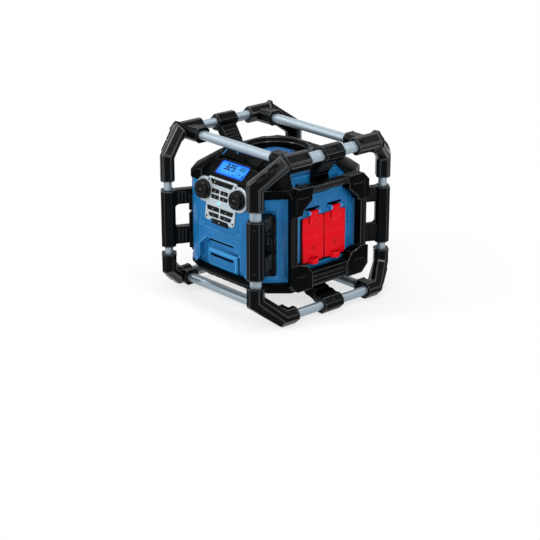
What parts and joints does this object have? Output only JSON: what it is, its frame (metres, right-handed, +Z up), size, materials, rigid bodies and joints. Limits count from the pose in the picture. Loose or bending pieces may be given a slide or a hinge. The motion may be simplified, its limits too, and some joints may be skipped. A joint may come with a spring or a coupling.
{
  "type": "jobsite radio",
  "caption": "Cube-shaped site radio slung in a roll cage of oval tubes, with control panel, flapped mains sockets and a battery bay.",
  "frame": {"origin": "middle of the floor area under the cage's four bottom elbows", "axes": "+Z up, -Y towards the front with the control panel, +X towards the mains sockets"},
  "size_m": [0.403, 0.4256, 0.3882],
  "materials": {
    "alu_tube": "satin extruded, fine ridges along its length",
    "black_cage": "satin black moulded plastic",
    "steel": "blackened steel",
    "blue_body": "fine-textured blue plastic",
    "black_shell": "fine-textured black plastic",
    "black_guard": "black overmoulded rubber",
    "window": "clear tinted window",
    "display": "backlit blue display",
    "silver_plate": "satin silver paint",
    "knob_rubber": "soft black rubber",
    "key_rubber": "black rubber key",
    "red_flap": "glossy red plastic",
    "socket_black": "black socket moulding",
    "driver": "pulp cone and steel basket",
    "board": "green board"
  },
  "bodies": {
    "root": {"post_tube_fr": "alu_tube", "post_tube_fl": "alu_tube", "post_tube_rr": "alu_tube", "post_tube_rl": "alu_tube", "top_side_tube_right": "alu_tube", "top_side_tube_left": "alu_tube", "bottom_side_tube_right": "alu_tube", "bottom_side_tube_left": "alu_tube", "top_cross_tube_front": "alu_tube", "top_cross_tube_rear": "alu_tube", "bottom_cross_tube_front": "alu_tube", "bottom_cross_tube_rear": "alu_tube", "top_elbow_fr": "black_cage", "top_elbow_fl": "black_cage", "top_elbow_rr": "black_cage", "top_elbow_rl": "black_cage", "bottom_elbow_fr": "black_cage", "bottom_elbow_fl": "black_cage", "bottom_elbow_rr": "black_cage", "bottom_elbow_rl": "black_cage", "corner_bracket_fr": "black_cage", "corner_bracket_fl": "black_cage", "corner_bracket_rr": "black_cage", "corner_bracket_rl": "black_cage", "top_clamp_right": "black_cage", "top_clamp_left": "black_cage", "bottom_clamp_right": "black_cage", "bottom_clamp_left": "black_cage", "cage_screws": "steel", "main_housing": "blue_body", "base_skid": "black_shell", "top_shell": "black_shell", "speaker_dome": "blue_body", "display_window": "window", "display_module": "display", "control_plate": "silver_plate", "hinge_pins": "steel", "socket_module": "socket_black", "side_guard_right": "black_guard", "side_guard_left": "black_guard", "rear_panel": "black_shell", "speaker_drivers": "driver", "electronics": "board"},
    "knob_left": {"knob_left": "knob_rubber"},
    "knob_right": {"knob_right": "knob_rubber"},
    "power_key": {"power_key": "key_rubber"},
    "preset_key_1": {"preset_key_1": "key_rubber"},
    "preset_key_2": {"preset_key_2": "key_rubber"},
    "preset_key_3": {"preset_key_3": "key_rubber"},
    "preset_key_4": {"preset_key_4": "key_rubber"},
    "function_key_left": {"function_key_left": "key_rubber"},
    "function_key_right": {"function_key_right": "key_rubber"},
    "lower_key_left": {"lower_key_left": "key_rubber"},
    "lower_key_right": {"lower_key_right": "key_rubber"},
    "enter_key": {"enter_key": "key_rubber"},
    "media_door": {"media_door": "black_shell"},
    "flap_front": {"flap_front": "red_flap"},
    "flap_rear": {"flap_rear": "red_flap"},
    "battery_door": {"battery_door": "blue_body"},
    "battery_latch": {"battery_latch": "key_rubber"}
  },
  "joints": [
    {"name": "knob_left_turn", "type": "hinge", "parent": "root", "child": "knob_left", "pos_m": [-0.058, -0.158, 0.2645], "axis": [0, -0.994, 0.1097], "continuous": true},
    {"name": "knob_right_turn", "type": "hinge", "parent": "root", "child": "knob_right", "pos_m": [0.058, -0.158, 0.2645], "axis": [0, -0.994, 0.1097], "continuous": true},
    {"name": "power_key_press", "type": "slide", "parent": "root", "child": "power_key", "axis": [0, 0.994, -0.1097], "range_m": [0, 0.001], "stiffness_N_per_m": 400},
    {"name": "preset_key_1_press", "type": "slide", "parent": "root", "child": "preset_key_1", "axis": [0, 0.994, -0.1097], "range_m": [0, 0.001], "stiffness_N_per_m": 400},
    {"name": "preset_key_2_press", "type": "slide", "parent": "root", "child": "preset_key_2", "axis": [0, 0.994, -0.1097], "range_m": [0, 0.001], "stiffness_N_per_m": 400},
    {"name": "preset_key_3_press", "type": "slide", "parent": "root", "child": "preset_key_3", "axis": [0, 0.994, -0.1097], "range_m": [0, 0.001], "stiffness_N_per_m": 400},
    {"name": "preset_key_4_press", "type": "slide", "parent": "root", "child": "preset_key_4", "axis": [0, 0.994, -0.1097], "range_m": [0, 0.001], "stiffness_N_per_m": 400},
    {"name": "function_key_left_press", "type": "slide", "parent": "root", "child": "function_key_left", "axis": [0, 0.994, -0.1097], "range_m": [0, 0.001], "stiffness_N_per_m": 400},
    {"name": "function_key_right_press", "type": "slide", "parent": "root", "child": "function_key_right", "axis": [0, 0.994, -0.1097], "range_m": [0, 0.001], "stiffness_N_per_m": 400},
    {"name": "lower_key_left_press", "type": "slide", "parent": "root", "child": "lower_key_left", "axis": [0, 0.994, -0.1097], "range_m": [0, 0.001], "stiffness_N_per_m": 400},
    {"name": "lower_key_right_press", "type": "slide", "parent": "root", "child": "lower_key_right", "axis": [0, 0.994, -0.1097], "range_m": [0, 0.001], "stiffness_N_per_m": 400},
    {"name": "enter_key_press", "type": "slide", "parent": "root", "child": "enter_key", "axis": [0, 0.994, -0.1097], "range_m": [0, 0.001], "stiffness_N_per_m": 400},
    {"name": "media_door_hinge", "type": "hinge", "parent": "root", "child": "media_door", "pos_m": [0, -0.0805, 0.3445], "axis": [-1, 0, 0], "range_deg": [0, 30]},
    {"name": "flap_front_hinge", "type": "hinge", "parent": "root", "child": "flap_front", "pos_m": [0.162, -0.033, 0.235], "axis": [0, -1, 0], "range_deg": [0, 110], "stiffness_Nm_per_rad": 0.02},
    {"name": "flap_rear_hinge", "type": "hinge", "parent": "root", "child": "flap_rear", "pos_m": [0.162, 0.033, 0.235], "axis": [0, -1, 0], "range_deg": [0, 110], "stiffness_Nm_per_rad": 0.02},
    {"name": "battery_door_hinge", "type": "hinge", "parent": "root", "child": "battery_door", "pos_m": [-0.16, 0, 0.112], "axis": [0, -1, 0], "range_deg": [0, 95]},
    {"name": "battery_latch_press", "type": "slide", "parent": "battery_door", "child": "battery_latch", "axis": [1, 0, 0], "range_m": [0, 0.002], "stiffness_N_per_m": 500}
  ]
}
